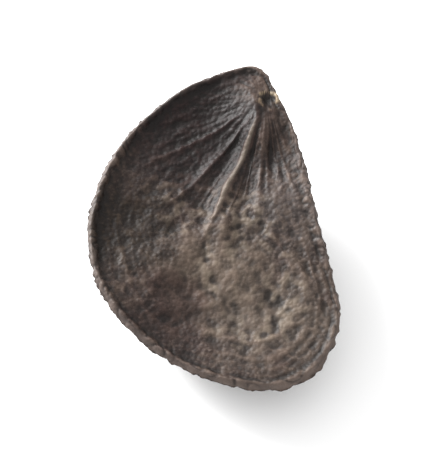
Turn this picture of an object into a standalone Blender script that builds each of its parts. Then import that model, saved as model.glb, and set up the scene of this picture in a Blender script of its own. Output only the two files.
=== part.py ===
"""An onion seed: one dried, flattened seed that lies on its round back with its hollow face up.

The seed is one solid. Units are metres and +Z is up. The origin is on the surface that the seed rests on,
under the middle of its outline. The pointed end is towards +Y, and the straight side, where a neighbour
pressed on it, is towards +X. The scar where the seed was joined to its pod is on that side, by the point.

The form is made in three steps. A ball of even faces is pulled into the smooth form of the seed, its coat
is then raised along its normals into ridges, wrinkles and dents, and the lowest part is pressed flat.
"""

import math

import bmesh
import bpy
from mathutils import Euler, Vector, noise

MM = 0.001

# Driving dimensions of the seed
LENGTH = 3.8 * MM
WIDTH = 2.6 * MM
RIM_HEIGHT = 0.88 * MM
RIM_RISE = 0.12
RIM_ROUNDING = 0.055 * MM
FLAT_SPOT_CUT = 0.035 * MM

# The outline from above, anticlockwise from the pointed end, as shares of half the width and half the length
OUTLINE = (
    (0.38, 1.00),
    (0.12, 0.965),
    (-0.18, 0.89),
    (-0.49, 0.735),
    (-0.75, 0.50),
    (-0.93, 0.20),
    (-1.00, -0.10),
    (-0.92, -0.40),
    (-0.67, -0.66),
    (-0.29, -0.86),
    (0.12, -0.97),
    (0.52, -1.00),
    (0.83, -0.88),
    (1.00, -0.62),
    (0.95, -0.33),
    (0.84, 0.05),
    (0.74, 0.42),
    (0.65, 0.66),
    (0.55, 0.78),
    (0.49, 0.92),
)

# The rim waves up and down: height, waves round the outline, and where they start in radians
RIM_WAVES = ((0.050 * MM, 2.0, 0.6), (0.025 * MM, 5.0, 1.0))

# The scar where the seed was joined to its pod: a pit with a raised lip, inside the notch by the point.
# The lip's place and spread are shares of the pit's radius.
SCAR_SPOT = Vector((0.60 * MM, 1.43 * MM))
SCAR_RADIUS = 0.085 * MM
SCAR_DEPTH = 0.080 * MM
LIP_HEIGHT = 0.030 * MM
LIP_PLACE = 1.7
LIP_SPREAD = 0.6

# The hollow face, measured inwards from the outline: a step down from the rim, then a broad dish, with a
# low mound below its middle. The step is deeper on the round side than on the straight one, and uneven.
RIM_WIDTH = 0.13 * MM
STEP_DEPTH = 0.10 * MM
STEP_LEAN = 0.25
STEP_UNEVENNESS = 0.22
DISH_REACH = 1.00 * MM
DISH_DEPTH = 0.12 * MM
DISH_STARTS_FROM_SCAR = (0.1 * MM, 0.7 * MM)
MOUND_SPOT = Vector((0.42 * MM, -0.60 * MM))
MOUND_RADIUS = 0.55 * MM
MOUND_HEIGHT = 0.08 * MM

# The back drops from the rim with this power of the distance from the middle, so more is fuller. The
# straight side, round its direction in radians, is fuller and has a flat facet.
ROUND_SIDE_FULLNESS = 2.3
STRAIGHT_SIDE_FULLNESS = 4.5
STRAIGHT_SIDE_TURN = -0.10
FACET_DEPTH = 0.03 * MM
FACET_BOTTOM = (0.25 * MM, 0.50 * MM)

# Ridges that run from the scar over the hollow face: direction in degrees, length, and height
RIDGES = (
    (-95.0, 1.80 * MM, 0.050 * MM),
    (-113.0, 2.10 * MM, 0.110 * MM),
    (-131.0, 1.90 * MM, 0.050 * MM),
    (-152.0, 1.60 * MM, 0.045 * MM),
)
RIDGE_WIDTH = 0.06 * MM
RIDGE_START = (0.10 * MM, 0.45 * MM)
RIDGE_WANDER = 0.03 * MM
RIDGE_WANDER_SPACING = 0.45 * MM

# Dents and wrinkles of the dried coat: spacing, height, and the place in the endless pattern
DENT_SPACING = 0.85 * MM
DENT_HEIGHT = 0.055 * MM
DENT_PLACE = Vector((3.0, 1.0, 5.0))
FACE_WRINKLE_SPACING = 0.32 * MM
FACE_WRINKLE_HEIGHT = 0.050 * MM
FACE_WRINKLE_PLACE = Vector((11.0, 0.4, 0.3))
WRINKLES_START_FROM_SCAR = (1.0 * MM, 2.0 * MM)
GUTTER = (-0.9 * MM, -0.3 * MM)
GUTTER_WRINKLES = 0.4
BACK_WRINKLE_SPACING = 0.52 * MM
BACK_WRINKLE_HEIGHT = 0.12 * MM
BACK_WRINKLE_PLACE = Vector((9.0, 0.4, 0.3))
WRINKLE_SLANT = Euler((0.6, 0.9, 0.4)).to_matrix()
WRINKLE_TOP = 1.30
WRINKLE_FLANK = 2.4
WRINKLE_ROUNDING = 0.14
WRINKLE_BENDS_SEED = 7

# Which way the coat points where the face's, the back's and the facet's relief start and are full
FACE_SLOPES = (0.2, 0.7)
BACK_SLOPES = (0.3, -0.3)
FACET_SLOPES = (0.55, 0.90)

# The ball that the seed is made from, and the share of its height that becomes the rounded rim
BALL_CUTS = 29
RIM_SHARE = 0.16


def smooth_step(low, high, value):
    """From 0 at low to 1 at high, with no kink at either."""
    share = min(1.0, max(0.0, (value - low) / (high - low)))
    return share * share * (3.0 - 2.0 * share)


def outline_samples(steps=24):
    """The smooth closed curve through the outline's points, as pairs of direction and distance."""
    count = len(OUTLINE)
    samples = []
    for index in range(count):
        before, start, end, after = (
            Vector(OUTLINE[(index + shift) % count]) for shift in (-1, 0, 1, 2)
        )
        for step in range(steps):
            t = step / steps
            point = 0.5 * (
                2.0 * start
                + (end - before) * t
                + (2.0 * before - 5.0 * start + 4.0 * end - after) * t**2
                + (3.0 * start - before - 3.0 * end + after) * t**3
            )
            x = point.x * WIDTH / 2.0
            y = point.y * LENGTH / 2.0
            samples.append((math.atan2(y, x), math.hypot(x, y)))
    return sorted(samples)


SAMPLES = outline_samples()


def outline_radius(turn):
    """The distance from the middle to the outline in the direction turn."""
    above = next((index for index, sample in enumerate(SAMPLES) if sample[0] > turn), 0)
    turn_above, radius_above = SAMPLES[above]
    turn_below, radius_below = SAMPLES[above - 1]
    full = 2.0 * math.pi
    share = ((turn - turn_below) % full) / ((turn_above - turn_below) % full)
    return radius_below + (radius_above - radius_below) * share


def even_ball():
    """A ball of even four-sided faces: a cube cut into a grid and blown up, which leaves no poles."""
    ball = bmesh.new()
    bmesh.ops.create_cube(ball, size=2.0)
    bmesh.ops.subdivide_edges(ball, edges=ball.edges[:], cuts=BALL_CUTS, use_grid_fill=True)
    for vert in ball.verts:
        vert.co = Vector([math.tan(value * math.pi / 4.0) for value in vert.co]).normalized()
    return ball


def climb_of(place):
    """How far a point of the ball is from its waist, from 0 there to 1 at its top or bottom."""
    return math.asin(min(1.0, abs(place.z))) / (math.pi / 2.0)


def rim_level(x, y, turn):
    """The height of the rim's crest, which climbs towards the pointed end and waves a little."""
    waves = sum(height * math.sin(count * turn + start) for height, count, start in RIM_WAVES)
    return RIM_HEIGHT + RIM_RISE * y + waves * min(1.0, 2.0 * math.hypot(x, y) / WIDTH)


def smooth_face(place, turn, rim):
    """A point of the upper half: over the rounded rim, down its step, and in the dish with its mound."""
    radius = rim.length
    inner_share = 1.0 - RIM_ROUNDING / radius
    climb = climb_of(place)
    if climb < RIM_SHARE:
        bend = climb / RIM_SHARE * math.pi / 2.0
        share = inner_share + (1.0 - inner_share) * math.cos(bend)
        below_crest = RIM_ROUNDING * (1.0 - math.sin(bend))
    else:
        share = inner_share * (1.0 - (climb - RIM_SHARE) / (1.0 - RIM_SHARE))
        below_crest = 0.0
    spot = rim * share
    inward = (1.0 - share) * radius
    uneven = STEP_UNEVENNESS * noise.noise(rim.to_3d() / DENT_SPACING)
    step = STEP_DEPTH * (1.0 - STEP_LEAN * (1.0 + math.cos(turn + 0.6)) + uneven)
    step *= smooth_step(0.8 * RIM_ROUNDING, RIM_ROUNDING + RIM_WIDTH, inward)
    dish = DISH_DEPTH * smooth_step(0.0, DISH_REACH, inward)
    mound = MOUND_HEIGHT * math.exp(-(((spot - MOUND_SPOT).length / MOUND_RADIUS) ** 2))
    clear_of_scar = smooth_step(*DISH_STARTS_FROM_SCAR, (spot - SCAR_SPOT).length)
    z = rim_level(spot.x, spot.y, turn) - below_crest - (step + dish) * clear_of_scar + mound
    return Vector((spot.x, spot.y, z))


def smooth_back(place, turn, rim):
    """A point of the lower half: a round back, fuller and steeper on the straight side."""
    straight = smooth_step(0.45, 0.95, math.cos(turn - STRAIGHT_SIDE_TURN))
    fullness = ROUND_SIDE_FULLNESS + (STRAIGHT_SIDE_FULLNESS - ROUND_SIDE_FULLNESS) * straight
    share = math.cos(climb_of(place) * math.pi / 2.0) ** 0.9
    spot = rim * share
    depth = rim_level(rim.x, rim.y, turn) - RIM_ROUNDING + FLAT_SPOT_CUT
    return Vector((spot.x, spot.y, depth * share**fullness - FLAT_SPOT_CUT))


def smooth_form(place):
    """The place on the seed, before its wrinkles, of one point of the ball."""
    turn = math.atan2(place.y, place.x)
    rim = outline_radius(turn) * Vector((math.cos(turn), math.sin(turn)))
    return smooth_face(place, turn, rim) if place.z >= 0.0 else smooth_back(place, turn, rim)


def fan_ridges(spot):
    """The height of the ridges that run from the scar over the hollow face."""
    height = 0.0
    for degrees, length, top in RIDGES:
        course = Vector((math.cos(math.radians(degrees)), math.sin(math.radians(degrees))))
        along = (spot - SCAR_SPOT).dot(course)
        across = course.x * (spot - SCAR_SPOT).y - course.y * (spot - SCAR_SPOT).x
        across += RIDGE_WANDER * noise.noise(Vector((along / RIDGE_WANDER_SPACING, degrees, 0.0)))
        start = smooth_step(*RIDGE_START, along)
        end = smooth_step(length, 0.5 * length, along)
        height += top * start * end * math.exp(-((across / RIDGE_WIDTH) ** 2))
    return height


def scar(spot):
    """The height of the scar: below the coat in its pit and above it on its lip."""
    distance = (spot - SCAR_SPOT).length / SCAR_RADIUS
    lip = LIP_HEIGHT * math.exp(-(((distance - LIP_PLACE) / LIP_SPREAD) ** 2))
    return lip - SCAR_DEPTH * math.exp(-(distance**2))


def wrinkles(place, spacing, shift):
    """A net of raised folds round shallow hollows, from 0 to about 1."""
    point = WRINKLE_SLANT @ place / spacing + shift
    bent = point + 0.5 * noise.noise_vector(point * 0.8)
    return max(0.0, WRINKLE_TOP - WRINKLE_FLANK * math.hypot(noise.noise(bent), WRINKLE_ROUNDING)) ** 2


def relief(place, normal, climb):
    """How far the coat stands out from the smooth form at one place."""
    spot = place.to_2d()
    upward = smooth_step(*FACE_SLOPES, normal.z)
    downward = smooth_step(*BACK_SLOPES, normal.z)
    sideways = smooth_step(*FACET_SLOPES, normal.x) * smooth_step(*FACET_BOTTOM, place.z)
    inner = smooth_step(0.12, 0.40, climb)
    wrinkled = inner * smooth_step(*WRINKLES_START_FROM_SCAR, (spot - SCAR_SPOT).length)
    wrinkled *= GUTTER_WRINKLES + (1.0 - GUTTER_WRINKLES) * smooth_step(*GUTTER, spot.x)

    face_net = wrinkles(place, FACE_WRINKLE_SPACING, FACE_WRINKLE_PLACE) - 0.3
    back_net = wrinkles(place, BACK_WRINKLE_SPACING, BACK_WRINKLE_PLACE) - 0.3
    height = DENT_HEIGHT * noise.noise(place / DENT_SPACING + DENT_PLACE)
    height += upward * (fan_ridges(spot) + wrinkled * FACE_WRINKLE_HEIGHT * face_net)
    height += downward * (1.0 - 0.6 * sideways) * BACK_WRINKLE_HEIGHT * back_net
    height -= sideways * FACET_DEPTH
    return height * (0.25 + 0.75 * inner) + upward * scar(spot)


def eased(seed, heights):
    """Each height shared half with its neighbours, so that a slanting ridge has no steps."""
    shared = []
    for vert, height in zip(seed.verts, heights):
        around = [heights[edge.other_vert(vert).index] for edge in vert.link_edges]
        shared.append(0.5 * height + 0.5 * sum(around) / len(around))
    return shared


def raise_coat(seed, climbs):
    """Raises the ridges and wrinkles along the normals, eases their crests and presses the foot flat."""
    seed.normal_update()
    seed.verts.index_update()
    heights = [relief(vert.co, vert.normal, climb) for vert, climb in zip(seed.verts, climbs)]
    for vert, height in zip(seed.verts, eased(seed, heights)):
        clear_of_foot = smooth_step(-0.02 * MM, 0.10 * MM, vert.co.z)
        vert.co = vert.co + vert.normal * height * clear_of_foot
    bmesh.ops.smooth_vert(
        seed, verts=seed.verts[:], factor=0.5, use_axis_x=True, use_axis_y=True, use_axis_z=True
    )
    for vert in seed.verts:
        vert.co.z = max(0.0, vert.co.z)


def middle_of_outline(seed):
    """The middle of the seed's box, as seen from above."""
    xs = [vert.co.x for vert in seed.verts]
    ys = [vert.co.y for vert in seed.verts]
    return Vector(((min(xs) + max(xs)) / 2.0, (min(ys) + max(ys)) / 2.0, 0.0))


def seed_coat_material():
    """Charcoal brown coat with a dull wax sheen."""
    material = bpy.data.materials.new("seed_coat")
    material.use_nodes = True
    shader = material.node_tree.nodes["Principled BSDF"]
    shader.inputs["Base Color"].default_value = (0.030, 0.024, 0.021, 1.0)
    shader.inputs["Roughness"].default_value = 0.5
    shader.inputs["Metallic"].default_value = 0.0
    return material


def onion_seed():
    """The whole seed as one closed solid."""
    seed = even_ball()
    climbs = [climb_of(vert.co) for vert in seed.verts]
    for vert in seed.verts:
        vert.co = smooth_form(vert.co)
    bmesh.ops.recalc_face_normals(seed, faces=seed.faces[:])
    raise_coat(seed, climbs)
    bmesh.ops.translate(seed, verts=seed.verts[:], vec=-middle_of_outline(seed))

    mesh = bpy.data.meshes.new("onion_seed")
    seed.to_mesh(mesh)
    seed.free()
    mesh.shade_smooth()
    mesh.materials.append(seed_coat_material())
    bpy.context.scene.collection.objects.link(bpy.data.objects.new("onion_seed", mesh))


for old in list(bpy.data.objects):
    bpy.data.objects.remove(old, do_unlink=True)
noise.seed_set(WRINKLE_BENDS_SEED)
onion_seed()
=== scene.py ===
"""The looks of one dried onion seed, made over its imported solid. Metres, +Z up, hollow face up."""

import math

import bpy
import numpy as np
from mathutils import Euler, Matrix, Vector, noise


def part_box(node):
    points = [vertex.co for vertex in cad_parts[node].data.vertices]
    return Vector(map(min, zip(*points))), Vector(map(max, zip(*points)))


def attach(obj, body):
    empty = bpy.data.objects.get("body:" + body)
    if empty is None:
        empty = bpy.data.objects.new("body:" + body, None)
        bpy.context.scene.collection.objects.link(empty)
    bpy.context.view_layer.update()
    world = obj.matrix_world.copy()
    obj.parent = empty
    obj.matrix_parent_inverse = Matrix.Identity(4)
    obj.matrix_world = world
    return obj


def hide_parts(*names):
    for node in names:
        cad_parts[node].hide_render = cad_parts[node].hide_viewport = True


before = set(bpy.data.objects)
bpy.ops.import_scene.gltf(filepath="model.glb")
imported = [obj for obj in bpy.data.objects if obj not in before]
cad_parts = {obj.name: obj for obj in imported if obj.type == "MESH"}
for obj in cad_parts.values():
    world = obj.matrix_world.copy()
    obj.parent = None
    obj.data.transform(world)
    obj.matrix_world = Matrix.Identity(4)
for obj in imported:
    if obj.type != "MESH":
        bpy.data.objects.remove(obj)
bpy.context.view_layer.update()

# The body
# The seed grew in one piece, so it is one closed skin here too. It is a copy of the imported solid, with its
# faces cut finer and eased, so that their flat facets turn into one smooth curved surface.
MM = 0.001
SAME_POINT = 0.001 * MM
CUTS_PER_EDGE = 3
EASE_FACTOR = 0.5
EASE_STEPS = 14

lowest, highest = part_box("onion_seed")
seed = bpy.data.objects.new("dried_onion_seed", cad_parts["onion_seed"].data.copy())
bpy.context.collection.objects.link(seed)
bpy.ops.object.select_all(action="DESELECT")
seed.select_set(True)
bpy.context.view_layer.objects.active = seed

bpy.ops.object.mode_set(mode="EDIT")
bpy.ops.mesh.select_all(action="SELECT")
bpy.ops.mesh.remove_doubles(threshold=SAME_POINT)
bpy.ops.mesh.subdivide(number_cuts=CUTS_PER_EDGE)
bpy.ops.object.mode_set(mode="OBJECT")

ease = seed.modifiers.new("ease", "SMOOTH")
ease.factor = EASE_FACTOR
ease.iterations = EASE_STEPS
bpy.ops.object.modifier_apply(modifier=ease.name)


def read_vectors(collection, name):
    """A mesh's vectors as rows of three numbers."""
    flat = np.empty(len(collection) * 3, np.float32)
    collection.foreach_get(name, flat)
    return flat.reshape(-1, 3).astype(float)


# The relief is worked out in millimetres, and inward is the distance in from the outline
OUTLINE_PARTS = 180
places = read_vectors(seed.data.vertices, "co") / MM
normals = read_vectors(seed.data.vertex_normals, "vector")
turns = np.arctan2(places[:, 1], places[:, 0])
radii = np.hypot(places[:, 0], places[:, 1])
part_size = 2.0 * math.pi / OUTLINE_PARTS
part_of = ((turns + math.pi) / part_size).astype(int) % OUTLINE_PARTS
rim_radii = np.array([radii[part_of == part].max() for part in range(OUTLINE_PARTS)])
part_middles = (np.arange(OUTLINE_PARTS) + 0.5) * part_size - math.pi
inward = np.interp(turns, part_middles, rim_radii, period=2.0 * math.pi) - radii


def smooth_step(low, high, value):
    """From 0 at low to 1 at high, with no kink at either."""
    share = min(1.0, max(0.0, (value - low) / (high - low)))
    return share * share * (3.0 - 2.0 * share)


# The hollow face
# The coat is a brittle skin about 0.03 mm thick, which shrank on the flesh as it dried. Here it is drawn
# into ridges that fan from the scar, with fine lines and hoops between them, and the middle is raised in
# low soft swellings. The rim is thin, hard and nicked, with a groove at its foot.
SCAR_SPOT = Vector((0.60, 1.43))

# Each pair below says where a pattern starts to show and where it is full
FACE_FROM_RIM = (0.05, 0.25)

# The ridges: the course in degrees, the length, and the height as a share of the main one's
RIDGES = ((-95.0, 1.80, 0.25), (-113.0, 2.10, 1.0), (-131.0, 1.90, 0.45), (-152.0, 1.60, 0.35))
RIDGES_FROM_SCAR = (0.10, 0.45)
RIDGE_FULL_LENGTH = 0.5
RIDGE_WANDER = 0.03
RIDGE_WANDER_SPACING = 0.45
CREST_WIDTH = 0.026
CREST_HEIGHT = 0.030
LEAN_PLACE = 0.13
LEAN_WIDTH = 0.10
LEAN_HEIGHT = 0.050

# The fine lines that fan from the scar between the ridges
FAN_LINES = 9.0
FAN_LINE_CHANGE = 0.9
FAN_LINE_HEIGHT = 0.012
FAN_LINE_SOFTNESS = 0.08
FAN_FROM_SCAR = (0.12, 0.40)
FAN_FROM_END = (2.2, 0.8)
BEND = 0.25
BEND_SPACING = 0.3

# The hoops, which follow the rim
HOOP_SPACING = 0.16
HOOP_CHANGE = 1.3
HOOP_BEND = 0.2
HOOP_HEIGHT = 0.010
HOOP_SOFTNESS = 0.10
HOOPS_FROM_RIM = (0.12, 0.25)
HOOPS_FROM_MIDDLE = (0.95, 0.45)

# The low soft swellings of the middle, which thin out to the left and in patches
SWELLING_SPACING = 0.090
SWELLING_HEIGHT = 0.011
SWELLING_SLOPE = (-0.45, 0.65)
SWELLING_WAVES = 0.06
SWELLING_WAVE_SPACING = 0.35
SWELLINGS_FROM_RIM = (0.20, 0.60)
SWELLINGS_FROM_SCAR = (0.7, 1.3)
SWELLINGS_FROM_LEFT = (-0.85, -0.25)
LEFT_SLANT = 0.35
PATCH_LEAST = 0.6
PATCH_MORE = 0.4
PATCH_SLOPE = (-0.50, 0.30)
PATCH_SPACING = 0.45

# The net of fine creases, and the groove and nicks of the rim
CREASE_SPACING = 0.15
CREASE_HEIGHT = 0.008
CREASE_SOFTNESS = 0.15
GROOVE_PLACE = 0.125
GROOVE_WIDTH = 0.028
GROOVE_DEPTH = 0.012
NICK_SPACING = 0.12
NICK_LENGTH = 0.10
NICK_HEIGHT = 0.014
NICK_SOFTNESS = 0.10

# The nicks, and the back's upright creases, have their true spacing at this distance from the middle
MIDDLE_RADIUS = 1.5

# How a noise is turned to folds: how steep they are, how they bend, and the height that counts as level
FOLD_STEEPNESS = 2.2
FOLD_BEND = 0.6
FOLD_BEND_CHANGE = 0.7
FOLD_LEVEL = 0.4
SLANT = Euler((0.7, 0.5, 1.1)).to_matrix()

# The fan, the patches and each net are read from their own part of the noise, so that no two lie alike
FAN_PART = 4.0
PATCH_PART = Vector((2.0, 0.0, 9.0))
FOLD_PART = (0.7, 0.2)
CREASE_PART = 3.0

# The bends of the folds and swellings are drawn from this number, so that each run makes the same seed
BENDS_SEED = 7
noise.seed_set(BENDS_SEED)


def crests(spot):
    """The height of the ridges that run from the scar, each fuller on the side of the straight edge, and
    their sharp crests alone, from 0 to 1."""
    height = 0.0
    fuller = 0.0
    for degrees, length, share in RIDGES:
        course = Vector((math.cos(math.radians(degrees)), math.sin(math.radians(degrees))))
        along = (spot - SCAR_SPOT).dot(course)
        across = course.x * (spot - SCAR_SPOT).y - course.y * (spot - SCAR_SPOT).x
        across += RIDGE_WANDER * noise.noise(Vector((along / RIDGE_WANDER_SPACING, degrees, 0.0)))
        ends = smooth_step(*RIDGES_FROM_SCAR, along) * smooth_step(length, RIDGE_FULL_LENGTH * length, along)
        height = max(height, share * ends * math.exp(-((across / CREST_WIDTH) ** 2)))
        fuller += share * share * ends * math.exp(-(((across - LEAN_PLACE) / LEAN_WIDTH) ** 2))
    return CREST_HEIGHT * height + LEAN_HEIGHT * fuller, height


def crease(value, softness):
    """Turns a noise's crossings of zero into rounded crests, from 0 between them to 1 on top."""
    return max(0.0, 1.0 - FOLD_STEEPNESS * (math.hypot(value, softness) - softness)) ** 2


def swellings(place):
    """Low soft swellings of uneven size, from 0 between them to 1 on the highest."""
    waves = SWELLING_WAVES * noise.noise_vector(place / SWELLING_WAVE_SPACING)
    return smooth_step(*SWELLING_SLOPE, noise.noise((place + waves) / SWELLING_SPACING))


def folds(place, spacing, part, softness):
    """A net of rounded folds, from 0 in its meshes to 1 on its crests."""
    point = SLANT @ place / spacing + Vector((part, *FOLD_PART))
    return crease(noise.noise(point + FOLD_BEND * noise.noise_vector(point * FOLD_BEND_CHANGE)), softness)


def face_relief(place, turn, inner):
    """The height of the hollow face's fine relief, then its swellings alone and its sharp crests alone, each
    from 0 to 1."""
    spot = place.to_2d()
    apart = spot - SCAR_SPOT
    inside = smooth_step(*FACE_FROM_RIM, inner)
    patchy = noise.noise(place / PATCH_SPACING + PATCH_PART)
    patchy = PATCH_LEAST + PATCH_MORE * smooth_step(*PATCH_SLOPE, patchy)
    swollen = smooth_step(*SWELLINGS_FROM_RIM, inner) * smooth_step(*SWELLINGS_FROM_SCAR, apart.length)
    swollen *= patchy
    swollen *= smooth_step(*SWELLINGS_FROM_LEFT, place.x + LEFT_SLANT * place.y)
    swelling = swollen * swellings(place)
    bent = BEND * noise.noise(place / BEND_SPACING)
    fan_turn = FAN_LINES * math.atan2(apart.y, apart.x)
    fan = noise.noise(Vector((fan_turn, apart.length * FAN_LINE_CHANGE + bent, FAN_PART)))
    fan_share = smooth_step(*FAN_FROM_SCAR, apart.length) * smooth_step(*FAN_FROM_END, apart.length)
    around = Vector((math.cos(turn), math.sin(turn), 0.0))
    hoop_place = (inner + HOOP_BEND * bent) / HOOP_SPACING
    hoop = noise.noise(around * HOOP_CHANGE + Vector((0.0, 0.0, hoop_place)))
    hoop_share = smooth_step(*HOOPS_FROM_RIM, inner) * smooth_step(*HOOPS_FROM_MIDDLE, inner)
    nick = noise.noise(around * MIDDLE_RADIUS / NICK_SPACING + Vector((0.0, 0.0, inner / NICK_LENGTH)))

    ridge, crest = crests(spot)
    height = inside * ridge
    height += inside * fan_share * FAN_LINE_HEIGHT * (crease(fan, FAN_LINE_SOFTNESS) - FOLD_LEVEL)
    height += hoop_share * HOOP_HEIGHT * (crease(hoop, HOOP_SOFTNESS) - FOLD_LEVEL)
    creases = folds(place, CREASE_SPACING, CREASE_PART, CREASE_SOFTNESS)
    height += inside * CREASE_HEIGHT * (creases - FOLD_LEVEL)
    height += SWELLING_HEIGHT * swelling
    height -= GROOVE_DEPTH * math.exp(-(((inner - GROOVE_PLACE) / GROOVE_WIDTH) ** 2))
    height -= (1.0 - inside) * NICK_HEIGHT * crease(nick, NICK_SOFTNESS)
    return height, swelling, inside * crest


# The round back
# Here the coat had room to shrink both ways, so it lies in a net of low rounded folds, with a finer net
# between them. Under the rim it is drawn into short upright creases.
NET_SPACING = 0.22
NET_HEIGHT = 0.020
NET_SOFTNESS = 0.20
NET_PART = 7.0
FINE_NET_SPACING = 0.08
FINE_NET_HEIGHT = 0.014
FINE_NET_SOFTNESS = 0.15
FINE_NET_PART = 5.0
UPRIGHT_SPACING = 0.085
UPRIGHT_LENGTH = 0.30
UPRIGHT_DEPTH = 0.016
UPRIGHT_SOFTNESS = 0.12
UPRIGHTS_FROM_FOOT = (0.25, 0.70)


def back_relief(place, turn):
    """The height of the back's two nets of folds, less the upright creases near the rim."""
    around = Vector((math.cos(turn), math.sin(turn), 0.0)) * MIDDLE_RADIUS / UPRIGHT_SPACING
    upright = noise.noise(around + Vector((0.0, 0.0, place.z / UPRIGHT_LENGTH)))
    upright = crease(upright, UPRIGHT_SOFTNESS)
    height = NET_HEIGHT * (folds(place, NET_SPACING, NET_PART, NET_SOFTNESS) - FOLD_LEVEL)
    fine_net = folds(place, FINE_NET_SPACING, FINE_NET_PART, FINE_NET_SOFTNESS)
    height += FINE_NET_HEIGHT * (fine_net - FOLD_LEVEL)
    return height - UPRIGHT_DEPTH * upright * smooth_step(*UPRIGHTS_FROM_FOOT, place.z)


# The scar
# The stalk that fed the seed tore off here, near the tip. It left a pit inside a raised and ragged ring of
# pale dead tissue.
PIT_RADIUS = 0.050
PIT_DEPTH = 0.030
RING_RADIUS = 0.100
RING_WIDTH = 0.034
RING_HEIGHT = 0.026
RING_UNEVEN = 0.5
RING_UNEVEN_SPACING = 0.10
RAGGED_MEAN = 0.65
RAGGED_SWING = 1.2
RAGGED_SPACING = 0.06


def scar_relief(place):
    """The height of the scar, and how much of it is pale torn tissue."""
    uneven = 1.0 + RING_UNEVEN * noise.noise(place / RING_UNEVEN_SPACING)
    distance = (place.to_2d() - SCAR_SPOT).length * uneven
    ragged = max(0.0, RAGGED_MEAN + RAGGED_SWING * noise.noise(place / RAGGED_SPACING))
    ring = math.exp(-(((distance - RING_RADIUS) / RING_WIDTH) ** 2)) * ragged
    return RING_HEIGHT * ring - PIT_DEPTH * math.exp(-((distance / PIT_RADIUS) ** 2)), ring


# All of the relief is raised along the surface's normals, and fades out at the foot, which lies flat
FACING_UP = (0.20, 0.70)
FACING_OUT = (0.60, 0.10)
RELIEF_FROM_FOOT = (0.0, 0.06)


def coat_relief(place, normal, turn, inner):
    """The height of the coat over the smooth body, and how much there is swelling, sharp crest and torn
    tissue."""
    up = smooth_step(*FACING_UP, normal.z)
    out = smooth_step(*FACING_OUT, normal.z)
    face, swollen, crest_highlight = face_relief(place, turn, inner)
    scar, torn = scar_relief(place)
    height = up * (face + scar) + out * back_relief(place, turn)
    return height * smooth_step(*RELIEF_FROM_FOOT, place.z), up * swollen, up * crest_highlight, up * torn


relief = np.array([
    coat_relief(Vector(place), Vector(normal), turn, inner)
    for place, normal, turn, inner in zip(places, normals, turns, inward)
])
heights, swollen, crest_highlight, torn = relief.T
raised = places + normals * heights[:, np.newaxis]
places = np.clip(raised, np.array(lowest) / MM, np.array(highest) / MM)
seed.data.vertices.foreach_set("co", (places * MM).astype(np.float32).ravel())
seed.data.update()
seed.data.shade_smooth()

# The coat's finish
# The coat is dead plant skin, blackened by its own pigment and dulled by a thin bloom of wax. Seen close
# it is charcoal brown. Its colour also holds painted highlight, greyer on what stands proud and tan on the
# tops of the swellings, and painted shade, darker in the hollows and on the flanks.

# How far around, in edges, a place is set against its surroundings, and the height in mm that counts in full
PROUD_REACH = 24
PROUD_SPAN = 0.030
CREASED_REACH = 5
CREASED_SPAN = 0.005

# What stands level is at the middle of the proud mask, and what faces out or down gets less of the painted
# highlight and shade
PROUD_LEVEL = 0.5
UPRIGHT_LIGHT_WEIGHT = 0.5
LEAST_LIGHT_WEIGHT = 0.5
FLANK_STEEPNESS = 2.5
RIM_SPAN = 0.13
RIM_STEEPNESS = 2.0

edge_ends = np.empty(len(seed.data.edges) * 2, np.int32)
seed.data.edges.foreach_get("vertices", edge_ends)
first, second = edge_ends.reshape(-1, 2).T
neighbours = np.bincount(edge_ends, minlength=len(places))
fine_normals = read_vectors(seed.data.vertex_normals, "vector")


def height_over_surroundings(reach):
    """How far each point stands above the average of the points around it, out to that many edges."""
    around = places.copy()
    for _ in range(reach):
        around = np.array([
            (np.bincount(first, axis[second]) + np.bincount(second, axis[first])) / neighbours
            for axis in around.T
        ]).T
    return ((places - around) * fine_normals).sum(1)


proud = height_over_surroundings(PROUD_REACH)
crease_shade = -height_over_surroundings(CREASED_REACH)
painted_light_weight = np.clip(normals[:, 2] + UPRIGHT_LIGHT_WEIGHT, LEAST_LIGHT_WEIGHT, 1.0)
near_rim = np.clip(1.0 - inward / RIM_SPAN, 0.0, 1.0)

COAT_MARKS = {
    "proud": np.clip(PROUD_LEVEL + painted_light_weight * proud / PROUD_SPAN, 0.0, 1.0),
    "crease_shade": np.clip(crease_shade / CREASED_SPAN, 0.0, 1.0),
    "flank_shade": np.clip(1.0 - normals[:, 2] * FLANK_STEEPNESS, 0.0, 1.0),
    "swollen": swollen,
    "crest_highlight": crest_highlight,
    "torn": torn,
    "rim": near_rim * np.clip(normals[:, 2] * RIM_STEEPNESS, 0.0, 1.0),
}
for name, values in COAT_MARKS.items():
    seed.data.attributes.new(name, "FLOAT", "POINT").data.foreach_set("value", values.astype(np.float32))


def from_hex(code):
    """A colour written as sRGB hex, turned to linear."""
    parts = [int(code[place:place + 2], 16) / 255.0 for place in (1, 3, 5)]
    return tuple(p / 12.92 if p <= 0.04045 else ((p + 0.055) / 1.055) ** 2.4 for p in parts) + (1.0,)


def add_node(material, kind, settings, inputs):
    """Adds a node, sets it up, and gives each input its value or links it to another node's output."""
    node = material.node_tree.nodes.new(kind)
    for name, value in settings.items():
        setattr(node, name, value)
    for name, value in inputs.items():
        if isinstance(value, bpy.types.NodeSocket):
            material.node_tree.links.new(value, node.inputs[name])
        else:
            node.inputs[name].default_value = value
    return node


coat = bpy.data.materials.new("dried_seed_coat_with_dull_wax")
coat.use_nodes = True
shader = coat.node_tree.nodes["Principled BSDF"]
where = add_node(coat, "ShaderNodeTexCoord", {}, {}).outputs["Object"]

# What the colours follow: clouds of the given size in mm, frayed zones round a spot, and the relief
CLOUDS = (("broad_clouds", 0.90), ("clouds", 0.40), ("mottling", 0.13), ("dust", 0.035))
CLOUD_DETAIL = 4.0
masks = {}
for name, spacing in CLOUDS:
    masks[name] = add_node(
        coat,
        "ShaderNodeTexNoise",
        {},
        {"Vector": where, "Scale": 1.0 / (spacing * MM), "Detail": CLOUD_DETAIL},
    ).outputs["Fac"]

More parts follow.
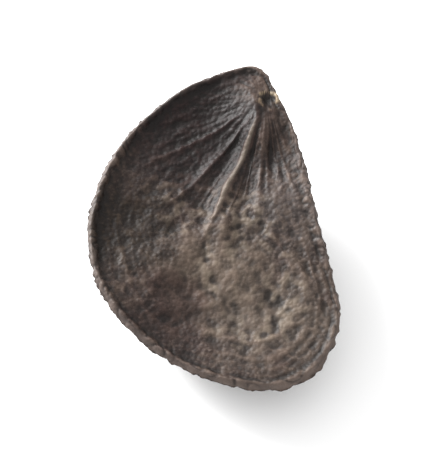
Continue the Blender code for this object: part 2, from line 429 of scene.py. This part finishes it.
# Each zone: its name, middle and radius in mm. Its colour is full within the inner share of the radius.
ZONES = (
    # Painted shade, with a purple tint under the tip and an olive tint in the left gutter
    ("shaded_under_the_tip", (-0.15, 1.15, 0.9), 1.25),
    ("shaded_left_gutter", (-0.95, -0.10, 0.7), 0.80),
    ("lower_left", (-0.45, -1.00, 0.6), 0.65),
    # Where the dish turns to the lamp: painted light, as well as a tone of its own
    ("middle", (0.00, -0.68, 0.7), 0.80),
    ("lower_right", (0.65, -1.10, 0.6), 0.90),
    ("right_side", (0.85, 0.10, 0.7), 0.65),
)
ZONE_FULL = 0.3
FRAY_SPACING = 0.35
FRAY_REACH = 0.9
fray = add_node(
    coat,
    "ShaderNodeTexNoise",
    {},
    {"Vector": where, "Scale": 1.0 / (FRAY_SPACING * MM), "Detail": CLOUD_DETAIL},
)
frayed = add_node(
    coat,
    "ShaderNodeVectorMath",
    {"operation": "MULTIPLY_ADD"},
    {0: fray.outputs["Color"], 1: (FRAY_REACH * MM, FRAY_REACH * MM, 0.0), 2: where},
).outputs[0]

# The fray moves every place by half its reach on average, so each zone's middle is moved as far
for name, middle, radius in ZONES:
    shifted = (Vector(middle) + Vector((0.5 * FRAY_REACH, 0.5 * FRAY_REACH, 0.0))) * MM
    apart = add_node(
        coat, "ShaderNodeVectorMath", {"operation": "DISTANCE"}, {0: frayed, 1: shifted}
    ).outputs["Value"]
    masks[name] = add_node(
        coat,
        "ShaderNodeMapRange",
        {"interpolation_type": "SMOOTHSTEP"},
        {"Value": apart, "From Min": radius * MM, "From Max": ZONE_FULL * radius * MM},
    ).outputs[0]

for name in COAT_MARKS:
    masks[name] = add_node(coat, "ShaderNodeAttribute", {"attribute_name": name}, {}).outputs["Fac"]

# Each layer: what it follows, where it starts and is full, how much it covers, how it is laid, its colour
COAT_COLOUR = "#2c211d"
LAYERS = (
    ("broad_clouds", 0.45, 0.65, 0.60, "MIX", "#322821"),
    ("clouds", 0.50, 0.65, 0.60, "MIX", "#3b2c28"),
    # Lighter in the middle, lower right and right side: painted light where the dish turns to the lamp, with
    # a tan and grey tone
    ("middle", 0.0, 1.0, 0.75, "MIX", "#53483e"),
    ("lower_right", 0.0, 1.0, 0.70, "MIX", "#4e443c"),
    ("right_side", 0.0, 1.0, 0.60, "MIX", "#3a3432"),
    ("mottling", 0.48, 0.62, 0.35, "MIX", "#52453b"),
    ("mottling", 0.50, 0.36, 0.35, "MIX", "#1f1a17"),
    ("dust", 0.52, 0.66, 0.25, "MIX", "#6e5f56"),
    # Painted highlight on what stands proud, and painted shade on what lies lower than its surroundings
    ("proud", 0.55, 0.95, 0.40, "MIX", "#705f54"),
    ("proud", 0.45, 0.05, 0.70, "MIX", "#14100e"),
    # A tan-grey painted highlight on the tops of the swellings
    ("swollen", 0.30, 0.90, 0.38, "MIX", "#786c5e"),
    ("torn", 0.25, 0.70, 0.80, "MIX", "#a39376"),
    # Painted shade under the tip and in the left gutter, each with a tint of its own; the lower left is made
    # darker and purpler
    ("shaded_under_the_tip", 0.0, 1.0, 1.0, "MULTIPLY", "#7b6266"),
    ("shaded_left_gutter", 0.0, 1.0, 1.0, "MULTIPLY", "#a49d8d"),
    ("lower_left", 0.0, 1.0, 1.0, "MULTIPLY", "#cabcbf"),
    ("rim", 0.30, 0.90, 0.45, "MIX", "#665c57"),
    # A painted highlight along the sharp crests of the ridges
    ("crest_highlight", 0.40, 1.00, 0.45, "MIX", "#7a7064"),
    # Painted shade on the flanks, which face out or down
    ("flank_shade", 0.0, 1.0, 1.0, "MULTIPLY", "#aaa29e"),
    # Painted shade in the fine creases
    ("crease_shade", 0.10, 0.90, 0.55, "MIX", "#15110f"),
)
colour = from_hex(COAT_COLOUR)
for mask, low, high, cover, laid, shade in LAYERS:
    amount = add_node(
        coat,
        "ShaderNodeMapRange",
        {},
        {"Value": masks[mask], "From Min": low, "From Max": high, "To Max": cover},
    )
    colour = add_node(
        coat,
        "ShaderNodeMix",
        {"data_type": "RGBA", "blend_type": laid},
        {0: amount.outputs[0], 6: colour, 7: from_hex(shade)},
    ).outputs[2]
coat.node_tree.links.new(colour, shader.inputs["Base Color"])

# The wax is patchy, so the sheen is too
WAXED_ROUGHNESS = 0.44
BARE_ROUGHNESS = 0.74
COAT_IOR = 1.45
COAT_SPECULAR = 0.25
dullness = add_node(
    coat,
    "ShaderNodeMapRange",
    {},
    {"Value": masks["clouds"], "To Min": WAXED_ROUGHNESS, "To Max": BARE_ROUGHNESS},
)
coat.node_tree.links.new(dullness.outputs[0], shader.inputs["Roughness"])
shader.inputs["IOR"].default_value = COAT_IOR
shader.inputs["Specular IOR Level"].default_value = COAT_SPECULAR

# The cells of the coat are domes about 0.05 mm wide
CELL_WIDTH = 0.05 * MM
CELL_DEPTH = 0.012 * MM
CELL_SMOOTHNESS = 0.4
CELL_STRENGTH = 0.8
cells = add_node(
    coat,
    "ShaderNodeTexVoronoi",
    {"feature": "SMOOTH_F1"},
    {"Vector": where, "Scale": 1.0 / CELL_WIDTH, "Smoothness": CELL_SMOOTHNESS},
)
domes = add_node(
    coat,
    "ShaderNodeBump",
    {"invert": True},
    {"Height": cells.outputs["Distance"], "Distance": CELL_DEPTH, "Strength": CELL_STRENGTH},
)
coat.node_tree.links.new(domes.outputs["Normal"], shader.inputs["Normal"])

seed.data.materials.clear()
seed.data.materials.append(coat)
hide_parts("onion_seed")
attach(seed, "root")

# The floor and the light
# A white table in a white tent, so bright that only the contact shadow shows, and one broad lamp low on
# the upper left, behind the seed.
FLOOR_SIZE = 0.3
PAPER_COLOUR = "#fafafa"
PAPER_ROUGHNESS = 0.9
TENT_COLOUR = "#ffffff"
TENT_STRENGTH = 1.17
LAMP_SIZE = 14.0 * MM
LAMP_ENERGY = 0.021
LAMP_PLACE = Vector((-17.0, 16.0, 10.0)) * MM
AIM = Vector((0.0, 0.0, 0.50 * MM))

bpy.ops.object.select_all(action="DESELECT")
bpy.ops.mesh.primitive_plane_add(size=FLOOR_SIZE, location=(0.0, 0.0, 0.0))
floor = bpy.context.object
floor.name = "floor"
paper = bpy.data.materials.new("white_paper")
paper.use_nodes = True
paper.node_tree.nodes["Principled BSDF"].inputs["Base Color"].default_value = from_hex(PAPER_COLOUR)
paper.node_tree.nodes["Principled BSDF"].inputs["Roughness"].default_value = PAPER_ROUGHNESS
floor.data.materials.append(paper)

tent = bpy.data.worlds.new("white_tent")
tent.use_nodes = True
tent.node_tree.nodes["Background"].inputs["Color"].default_value = from_hex(TENT_COLOUR)
tent.node_tree.nodes["Background"].inputs["Strength"].default_value = TENT_STRENGTH
bpy.context.scene.world = tent

lamp = bpy.data.objects.new("broad_lamp", bpy.data.lights.new("broad_lamp", "AREA"))
lamp.data.size = LAMP_SIZE
lamp.data.energy = LAMP_ENERGY
lamp.location = LAMP_PLACE
lamp.rotation_euler = (AIM - lamp.location).to_track_quat("-Z", "Y").to_euler()
bpy.context.collection.objects.link(lamp)

# The camera
# It looks down on the seed from the front at the photograph's angle, through a long lens, and so near that
# the seed is two thirds as high as the frame.
CAMERA_ELEVATION = math.radians(55.0)
CAMERA_DISTANCE = 14.0 * MM
CAMERA_LENS = 100.0
NEAREST_SEEN = 1.0 * MM
FURTHEST_SEEN = 1.0

camera = bpy.data.objects.new("camera", bpy.data.cameras.new("camera"))
camera.data.lens = CAMERA_LENS
camera.data.clip_start = NEAREST_SEEN
camera.data.clip_end = FURTHEST_SEEN
towards = Vector((0.0, -math.cos(CAMERA_ELEVATION), math.sin(CAMERA_ELEVATION)))
camera.location = AIM + towards * CAMERA_DISTANCE
camera.rotation_euler = (-towards).to_track_quat("-Z", "Y").to_euler()
bpy.context.collection.objects.link(camera)
bpy.context.scene.camera = camera
bpy.context.scene.view_settings.view_transform = "Standard"
